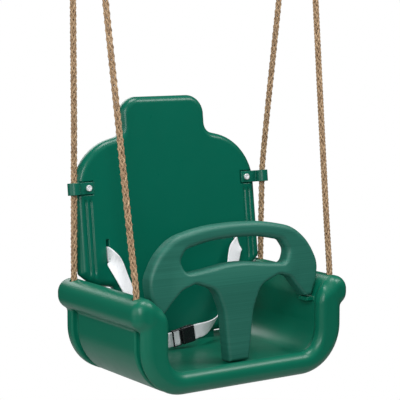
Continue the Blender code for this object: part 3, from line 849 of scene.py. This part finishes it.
def guard(x, y, z):
    edge = np.maximum(outline_distance(GUARD_OUTLINE, x, z), -outline_distance(HAND_HOLE, x, z))
    leg_bow = 1.0 + 6.5 * np.clip(1.0 + z / -GUARD_FOOT_Z, 0.0, 1.0)
    bow = leg_bow * (1.0 - smoothstep(0.0, 60.0, z)) * (1.0 - smoothstep(90.0, 130.0, np.abs(x)))
    return rounded_join(edge, np.abs(y + bow) - GUARD_T / 2, 6.0 + 3.5 * smoothstep(15.0, 60.0, z))


guard_piece = sculpted(
    "guard_moulding", guard, (-171, -24, -126), (171, 15, 104), 1.6, GUARD_GREEN, GUARD_STAND
)
stand_for(guard_piece, "guard", "guard_green", "front_guard")

# %% [markdown]
# ## Plaited rope
#
# Each side hangs on one hemp-look rope: out of the front arm hole, up and over a steel thimble,
# down past the backrest's clip and into the rear arm hole. It is an eight-strand plait: four
# strands wind one way and four the other, each passing over and under. A Geometry Nodes tree
# copies the centre line eight times, winds each copy round it, lets it rise and dip once per
# crossing, and sweeps a round strand along it.

# %% Rope route
THIMBLE = (217.0, 25.0, 732.0)
ROPE_D = 10.0
ROPE_BEND_R = 21.0
WASHER_LOW_Z = -10.6


def rope_route(side):
    """One side's rope, front hole to rear hole, in seat millimetres."""
    front = [
        (ROPE_X, ROPE_MID_Y - ROPE_Y, WASHER_LOW_Z),
        (ROPE_X, ROPE_MID_Y - ROPE_Y + 0.1, 4),
        (193, -82.1, 90),
        (197, -64.2, 220),
        (202, -43.8, 370),
        (208, -20.8, 540),
        (213.5, -4.6, 660),
    ]
    bight = []
    for angle in (188, 165, 140, 115, 90, 65, 40, 15, -7):
        a = math.radians(angle)
        y, z = THIMBLE[1] + ROPE_BEND_R * math.cos(a), THIMBLE[2] + ROPE_BEND_R * math.sin(a)
        bight.append((THIMBLE[0], y, z))
    rear = [
        (214, 51.5, 655),
        (208, 62.5, 530),
        (200.5, 76.5, 380),
        (193.5, 90, 240),
        (190.7, 97.2, 160),
        (190.5, 98.1, 125),
        (190.5, 99.6, 60),
        (190.5, ROPE_MID_Y + ROPE_Y, WASHER_LOW_Z),
    ]
    return [(side * x, y, z) for x, y, z in front + bight + rear]


def smooth_path(route, spacing):
    """Points at an even spacing on a smooth curve through a route."""
    points = [Vector(p) for p in route]
    ends = [2 * points[0] - points[1], *points, 2 * points[-1] - points[-2]]
    path = [points[0].copy()]
    for i in range(len(points) - 1):
        p0, p1, p2, p3 = ends[i : i + 4]
        a, b, c = (max((q - p).length, 1e-6) ** 0.5 for p, q in ((p0, p1), (p1, p2), (p2, p3)))
        leave = (p1 - p0) / a - (p2 - p0) / (a + b) + (p2 - p1) / b
        arrive = (p2 - p1) / b - (p3 - p1) / (b + c) + (p3 - p2) / c
        steps = max(1, round((p2 - p1).length / spacing))
        for k in range(1, steps + 1):
            t = k / steps
            path.append(
                (2 * t**3 - 3 * t**2 + 1) * p1
                + (t**3 - 2 * t**2 + t) * b * leave
                + (-2 * t**3 + 3 * t**2) * p2
                + (t**3 - t**2) * b * arrive
            )
    return path


# %% Plaiting tree
PLAIT = {
    "Lay": 0.052,
    "Centre radius": 0.0033,
    "Rise": 0.0008,
    "Strand radius": 0.0016,
    "Step": 0.0022,
}


def plait_tree():
    """Geometry Nodes: winds eight strands round a curve."""
    group = bpy.data.node_groups.new("plait", "GeometryNodeTree")
    ports = {}
    face = group.interface
    face.new_socket("Geometry", in_out="INPUT", socket_type="NodeSocketGeometry")
    for label, value in PLAIT.items():
        socket = face.new_socket(label, in_out="INPUT", socket_type="NodeSocketFloat")
        socket.default_value = value
        ports[label] = socket.identifier
    socket = face.new_socket("Material", in_out="INPUT", socket_type="NodeSocketMaterial")
    ports["Material"] = socket.identifier
    face.new_socket("Geometry", in_out="OUTPUT", socket_type="NodeSocketGeometry")
    tree = Tree(group)
    given = tree.add("NodeGroupInput")
    even = {"Curve": given.out("Geometry"), "Length": given.out("Step")}
    line = tree.add("GeometryNodeResampleCurve", {"mode": "LENGTH"}, even)
    eight = {"Geometry": line.out(0), "Amount": 8}
    copies = tree.add("GeometryNodeDuplicateElements", {"domain": "SPLINE"}, eight)
    number = copies.out("Duplicate Index")
    along = tree.add("GeometryNodeSplineParameter").out("Length")
    way = 1.0 - (number.math("MODULO", 2.0)) * 2.0
    turns = along / given.out("Lay")
    angle = (turns * way + (number * 0.5).math("FLOOR") * 0.25) * (2.0 * math.pi)
    rise = (turns * (8.0 * math.pi)).math("COSINE") * way
    radius = given.out("Centre radius") + rise * given.out("Rise")
    normal = tree.add("GeometryNodeInputNormal").out(0)
    tangent = tree.add("GeometryNodeInputTangent").out(0)

    def vector(operation, values):
        return tree.add("ShaderNodeVectorMath", {"operation": operation}, values).out(0)

    def kept_as(label, geometry, value):
        """The geometry with a value stored on its points, for the material to read."""
        settings = {"data_type": "FLOAT", "domain": "POINT"}
        values = {"Geometry": geometry.out(0), "Name": label, "Value": value}
        return tree.add("GeometryNodeStoreNamedAttribute", settings, values)

    side = vector("CROSS_PRODUCT", {0: tangent, 1: normal})
    out_n = vector("SCALE", {0: normal, "Scale": angle.math("COSINE") * radius})
    out_b = vector("SCALE", {0: side, "Scale": angle.math("SINE") * radius})
    offset = vector("ADD", {0: out_n, 1: out_b})
    marked = kept_as("strand", kept_as("along", copies, along), number)
    wound = tree.add("GeometryNodeSetPosition", None, {"Geometry": marked.out(0), "Offset": offset})
    circle = {"Resolution": 7, "Radius": given.out("Strand radius")}
    ring = tree.add("GeometryNodeCurvePrimitiveCircle", None, circle)
    profile = kept_as("around", ring, tree.add("GeometryNodeSplineParameter").out("Factor"))
    sweep = {"Curve": wound.out(0), "Profile Curve": profile.out(0), "Fill Caps": True}
    swept = tree.add("GeometryNodeCurveToMesh", None, sweep)
    real = tree.add("GeometryNodeRealizeInstances", None, {0: swept.out(0)})
    dress = {"Geometry": real.out(0), "Material": given.out("Material")}
    dressed = tree.add("GeometryNodeSetMaterial", None, dress)
    tree.add("NodeGroupOutput", None, {0: dressed.out(0)})
    return group, ports


def baked(carrier, group, settings):
    """The mesh that a Geometry Nodes tree makes from a carrier object, with the carrier removed."""
    modifier = carrier.modifiers.new(group.name, "NODES")
    modifier.node_group = group
    for identifier, value in settings.items():
        modifier[identifier] = value
    graph = bpy.context.evaluated_depsgraph_get()
    mesh = bpy.data.meshes.new_from_object(carrier.evaluated_get(graph))
    data = carrier.data
    bpy.data.objects.remove(carrier)
    if isinstance(data, bpy.types.Curve):
        bpy.data.curves.remove(data)
    return mesh


def curve_object(name, path):
    data = bpy.data.curves.new(name, "CURVE")
    data.dimensions = "3D"
    data.twist_mode = "MINIMUM"
    spline = data.splines.new("POLY")
    spline.points.add(len(path) - 1)
    for point, place in zip(spline.points, path):
        point.co = (*place, 1.0)
    obj = bpy.data.objects.new(name, data)
    bpy.context.scene.collection.objects.link(obj)
    return obj


plait, plait_ports = plait_tree()
for name, side in SIDES:
    path = [seat(*point) for point in smooth_path(rope_route(side), 6.0)]
    mesh = baked(curve_object(f"rope_line_{name}", path), plait, {plait_ports["Material"]: HEMP})
    rope = shown(f"rope_plait_{name}", mesh, HEMP)
    stand_for(rope, "swing", "hemp_rope", f"rope_{name}")

# %% [markdown]
# ## Turned steel: rings and thimbles
#
# A hanger ring is a round wire bent to a circle, and a thimble is a grooved wheel without
# spokes. Both are turned shapes: a profile spun round an axis. More steps than the CAD used
# give them a smooth outline.


# %% Turned pieces
def turned(profile, segments, place):
    """A closed profile of (radius, height) spun about Z, in millimetres before place."""
    bm = bmesh.new()
    verts = [bm.verts.new((radius, 0, height)) for radius, height in profile]
    edges = [bm.edges.new(pair) for pair in zip(verts, verts[1:])]
    if profile[0][0] > 0 and profile[-1][0] > 0:
        edges.append(bm.edges.new((verts[-1], verts[0])))
    bmesh.ops.spin(
        bm,
        geom=verts + edges,
        cent=(0, 0, 0),
        axis=(0, 0, 1),
        angle=math.tau,
        steps=segments,
        use_merge=True,
    )
    bmesh.ops.remove_doubles(bm, verts=bm.verts, dist=0.001)
    bmesh.ops.recalc_face_normals(bm, faces=bm.faces)
    bm.transform(place)
    mesh = bpy.data.meshes.new("turned")
    bm.to_mesh(mesh)
    bm.free()
    return mesh


RING_R, RING_WIRE_R = 24.0, 4.0
TURNED_STEPS = 72
AXIS_Z = -CROWN.z / MM
for name, side in SIDES:
    wire = [
        (RING_R + RING_WIRE_R * math.cos(a), RING_WIRE_R * math.sin(a))
        for a in (math.tau * k / 16 for k in range(16, 0, -1))
    ]
    stand = TO_FRAME @ Matrix.Translation((side * THIMBLE[0], THIMBLE[1], AXIS_Z + RING_R))
    upright = stand @ Matrix.Rotation(math.radians(90), 4, "X")
    ring = shown(f"hanger_ring_wire_{name}", turned(wire, TURNED_STEPS, upright), ZINC)
    stand_for(ring, "hanger", "zinc_steel", f"hanger_ring_{name}")
    groove = ROPE_BEND_R - ROPE_D / 2 - 0.6
    angles = [math.pi * k / 10 for k in range(11)]
    lip = [(groove + 4.0 - 4.0 * math.sin(a), 6.0 * math.cos(a)) for a in angles]
    hub = [(10.6, -6.4), (10.0, -5.8), (10.0, 5.8)]
    sheave = [(10.6, 6.4), (groove + 3.4, 6.5), *lip, (groove + 3.4, -6.5), *hub]
    stand = TO_FRAME @ Matrix.Translation((side * THIMBLE[0], THIMBLE[1], THIMBLE[2]))
    upright = stand @ Matrix.Rotation(math.radians(90), 4, "Y")
    eye = shown(f"thimble_wheel_{name}", turned(sheave, TURNED_STEPS, upright), ZINC)
    eye.data.set_sharp_from_angle(angle=math.radians(40))
    stand_for(eye, "swing", "zinc_steel", f"rope_thimble_{name}")

# %% [markdown]
# ## Rope clips and their screws
#
# A clip is a strip of green plastic folded round the rope, with its two ends closed together
# in a tab that drops into the backrest's pocket. A short domed screw holds the tab. The clip
# is sculpted flat like the plates, and the screw's cross recess is carved from its dome.

# %% Clips
LIFT = LEAN @ Matrix.Translation((0, 0, CLIP_LEVEL))
CLIP_RING_R, CLIP_BORE_R, CLIP_HEIGHT, CLIP_TAB_T = 10.4, 6.6, 20.0, 4.8
TAB_REAR = -BACK_T / 2 + CLIP_POCKET - 0.3
TAB_FRONT = TAB_REAR - CLIP_TAB_T
RING_Y = TAB_REAR - CLIP_RING_R


def clip(x, y, z):
    ring = np.hypot(x - ROPE_X, y - RING_Y) - CLIP_RING_R
    from_mid = np.abs(y - (TAB_FRONT + TAB_REAR) / 2)
    tab = np.maximum(from_mid - CLIP_TAB_T / 2, np.maximum(CLIP_TAB_END_X - x, x - ROPE_X))
    outline = melted(ring, tab, 2.0)
    outline = np.maximum(outline, -(np.hypot(x - ROPE_X, y - RING_Y) - CLIP_BORE_R))
    split = np.maximum(from_mid - 0.35, np.abs(x - 178.0) - 9.0)
    outline = carved(outline, split, 0.5)
    band = rounded_join(outline, np.abs(z) - CLIP_HEIGHT / 2, 0.8)
    hole = np.hypot(x - CLIP_X, z) - SCREW_HOLE_R
    return carved(band, hole, 0.4)


def screw(x, y, z):
    """A domed head and shank about the Y axis, with a cross recess."""
    radial = np.hypot(x, z)
    head = np.maximum(np.sqrt(radial**2 + (y + 1.6) ** 2) - 5.2, y)
    head = np.maximum(head, -3.5 - y)
    wide, tall = np.abs(x), np.abs(z)
    cross = np.minimum(np.maximum(wide - 0.55, tall - 2.6), np.maximum(tall - 0.55, wide - 2.6))
    head = carved(head, np.maximum(cross, y + 2.0), 0.3)
    shank = np.maximum(radial - 2.45, np.maximum(-1.0 - y, y - 34.2))
    return melted(head, shank, 0.3)


for name, side in SIDES:
    place = LIFT if side > 0 else LIFT @ Matrix.Scale(-1, 4, (1, 0, 0))
    band = sculpted(
        f"clip_band_{name}", clip, (147, -33, -12), (203, -8, 12), 0.7, CLIP_GREEN, place
    )
    stand_for(band, "swing", "moulded_green", f"rope_clip_{name}")
    place = LIFT @ Matrix.Translation((side * CLIP_X, TAB_FRONT - 0.3, 0))
    # The screw takes the zinc with the painted glint.
    fixing = sculpted(
        f"clip_screw_dome_{name}", screw, (-6, -5, -6), (6, 36, 6), 0.4, GLINT_PAINTED_ZINC, place
    )
    stand_for(fixing, "swing", "zinc_steel", f"clip_screw_{name}")

# %% [markdown]
# ## The lap belt
#
# Flat tape bends easily one way only, so it turns by twisting. Each strap is a ribbon along a
# smooth centre line, with a direction for its width at every station. It comes out of its slot
# standing on edge, drops towards the seat and stands edge-up again at the buckle.

# %% Straps
WEBBING_W, WEBBING_T = 25.0, 1.6
BUCKLE = Vector((-20.0, 34.0, -103.4))
BUCKLE_TILT = math.radians(9)
BUCKLE_LOCAL = Matrix.Translation(BUCKLE) @ Matrix.Rotation(-BUCKLE_TILT, 4, "Y")
BUCKLE_UP = (-math.sin(BUCKLE_TILT), 0, math.cos(BUCKLE_TILT))


def ribbon(name, stations):
    """Tape through stations of (centre, width direction), with UV across and along in metres."""
    spacing = 2.5
    centres = smooth_path([c for c, w in stations], spacing)
    widths = [Vector(stations[0][1])]
    for (c0, w0), (c1, w1) in zip(stations, stations[1:]):
        steps = max(1, round((Vector(c1) - Vector(c0)).length / spacing))
        widths += [Vector(w0).lerp(Vector(w1), k / steps) for k in range(1, steps + 1)]
    for _ in range(6):
        before, after = widths[:1] + widths, widths[1:] + widths[-1:]
        widths = [a * 0.25 + b * 0.5 + c * 0.25 for a, b, c in zip(before, widths, after)]
    lengths = [0.0]
    for a, b in zip(centres, centres[1:]):
        lengths.append(lengths[-1] + (b - a).length)
    across = [-1.0, -0.98, -0.8, -0.4, 0.0, 0.4, 0.8, 0.98, 1.0]
    section = [(u, 0.5 if abs(u) < 0.99 else 0.2) for u in across]
    section += [(u, -h) for u, h in reversed(section)]
    bm = bmesh.new()
    uv = bm.loops.layers.uv.new("UVMap")
    rows = []
    last = len(centres) - 1
    for i, (centre, width) in enumerate(zip(centres, widths)):
        ahead = (centres[min(i + 1, last)] - centres[max(i - 1, 0)]).normalized()
        wide = (width - ahead * width.dot(ahead)).normalized() * (WEBBING_W / 2)
        normal = ahead.cross(wide).normalized() * WEBBING_T
        rows.append([bm.verts.new(seat(*(centre + wide * u + normal * h))) for u, h in section])
    size = len(section)
    for i in range(last):
        for k in range(size):
            n = (k + 1) % size
            corners = ((i, k), (i, n), (i + 1, n), (i + 1, k))
            face = bm.faces.new([rows[row][column] for row, column in corners])
            for loop, (row, column) in zip(face.loops, corners):
                loop[uv].uv = (section[column][0] / 2 + 0.5, lengths[row] * MM)
    bm.faces.new(rows[0][::-1])
    bm.faces.new(rows[-1])
    bmesh.ops.recalc_face_normals(bm, faces=bm.faces)
    mesh = bpy.data.meshes.new(name)
    bm.to_mesh(mesh)
    bm.free()
    return shown(name, mesh, WEBBING)


def belt_point(x, y, z):
    """From the backrest's own drawing to seat millimetres."""
    return (TO_FRAME.inverted() @ LEAN @ Vector((x, y, z))).to_tuple()


def buckle_point(along):
    """A point on the buckle's long axis, in seat millimetres."""
    return (BUCKLE_LOCAL @ Vector((along, 0, 0))).to_tuple()


SLOT_MID = SLOT_LOW + 4.0 + WEBBING_W / 2
left_route = [
    (belt_point(-SLOT_X, BACK_T / 2 + 8, SLOT_MID), (0, 0.1, 1)),
    (belt_point(-SLOT_X, -BACK_T / 2 - 2, SLOT_MID), (0, 0.1, 1)),
    ((-130, 79, 33), (0.1, 0, 1)),
    ((-125, 70, 17), (0.5, 0.1, 0.85)),
    ((-115, 62, -10), (0.85, 0.3, 0.4)),
    ((-98, 54, -48), (0.85, 0.35, 0.3)),
    ((-79, 44, -82), (0.75, 0.2, 0.6)),
    ((-62, 36.5, -104), (0.25, 0, 0.95)),
    (buckle_point(-32), BUCKLE_UP),
    (buckle_point(-23.2), BUCKLE_UP),
]
right_route = [
    (belt_point(SLOT_X, BACK_T / 2 + 8, SLOT_MID), (0, 0.1, 1)),
    (belt_point(SLOT_X, -BACK_T / 2 - 2, SLOT_MID), (0, 0.1, 1)),
    ((126, 79, 35), (-0.35, 0.1, 0.95)),
    ((118, 76, 27), (-0.85, 0.1, 0.5)),
    ((114, 75, 14), (-1, 0, 0.1)),
    ((110, 73, 0), (-1, -0.1, 0.05)),
    ((101, 67, -22), (-0.95, -0.35, 0)),
    ((88, 59, -44), (-0.75, -0.65, 0)),
    ((75, 51, -62), (-0.6, -0.8, 0)),
    ((62, 46, -78), (-0.55, -0.8, 0.15)),
    ((48, 41, -89), (-0.4, -0.7, 0.5)),
    ((34, 37, -95), (-0.15, -0.4, 0.9)),
    ((20, 35, -98), (-0.1, -0.1, 1)),
    (buckle_point(32), BUCKLE_UP),
    (buckle_point(23.5), BUCKLE_UP),
]
strap_left = ribbon("webbing_left", left_route)
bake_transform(strap_left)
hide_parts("strap_left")
strap_right = ribbon("webbing_right", right_route)
stand_for(strap_right, "swing", "white_webbing", "strap_right")

# %% [markdown]
# ## The buckle
#
# A side-release buckle in two glossy black halves. The plug half ends in a ladder-lock frame,
# where the tape shows white in the window, and the receiver half is a flat shell with a window
# on each edge.

# %% Buckle halves
BUCKLE_PLACE = TO_FRAME @ BUCKLE_LOCAL


def slab(x, y, z, low, high, radius):
    """A block between two corners with rounded edges."""
    dx = np.abs(x - (low[0] + high[0]) / 2) - (high[0] - low[0]) / 2
    dy = np.abs(y - (low[1] + high[1]) / 2) - (high[1] - low[1]) / 2
    dz = np.abs(z - (low[2] + high[2]) / 2) - (high[2] - low[2]) / 2
    return rounded_join(rounded_join(dx, dz, radius), dy, radius)


def receiver(x, y, z):
    body = slab(x, y, z, (-3, -5, -14.5), (22, 5, 14.5), 2.2)
    mouth = slab(x, y, z, (-9, -3.1, -12.3), (15, 3.1, 12.3), 0.4)
    body = carved(body, mouth, 0.5)
    edge_window = slab(x, y, np.abs(z), (3, -2.4, 10), (12, 2.4, 20), 1.0)
    body = carved(body, edge_window, 0.5)
    panel = slab(x, y, z, (3, -8, -7), (13, -4.5, 7), 1.2)
    return carved(body, panel, 0.5)


def plug(x, y, z):
    frame_block = slab(x, y, z, (-22, -3, -14.5), (-4, 3, 14.5), 1.6)
    window = slab(x, y, z, (-18.8, -9, -12.6), (-7.2, 9, 12.6), 0.6)
    body = carved(frame_block, window, 0.5)
    bar = np.hypot(x + 13.2, y - 1.6) - 1.3
    body = np.minimum(body, np.maximum(bar, np.abs(z) - 13.5))
    for low, high in ((-2.5, 2.5), (8.2, 11.5), (-11.5, -8.2)):
        body = np.minimum(body, slab(x, y, z, (-5.5, -2.3, low), (12, 2.3, high), 0.6))
    return body


receiver_piece = sculpted(
    "buckle_receiver_shell", receiver, (-5, -7, -16), (24, 7, 16), 0.55, BLACK, BUCKLE_PLACE
)
stand_for(receiver_piece, "swing", "black_acetal", "buckle_receiver")
plug_piece = sculpted(
    "buckle_plug_frame", plug, (-24, -5, -16), (14, 5, 16), 0.55, BLACK, BUCKLE_PLACE
)
stand_for(plug_piece, "buckle_half", "black_acetal", "buckle_plug")
window_run = [BUCKLE_LOCAL @ Vector(p) for p in ((-24, -1.0, 0), (-20, -1.4, 0), (-7, -1.4, 0))]
tongue = ribbon("webbing_in_window", [(point.to_tuple(), BUCKLE_UP) for point in window_run])
stand_for(tongue, "buckle_half", "white_webbing")

# %% [markdown]
# ## Finishes on the parts that stay
#
# The small parts that the CAD already shapes well keep their meshes and take a finish.

# %% Dress the kept nodes
kept = {"clip_nut": ZINC, "rope_washer": ZINC, "rope_knot": HEMP_KNOT, "strap_stop": BLACK}
for label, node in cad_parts.items():
    for start, look in kept.items():
        if label.startswith(start):
            for slot in node.material_slots:
                slot.material = look
            print(label, "slots dressed:", len(node.material_slots))
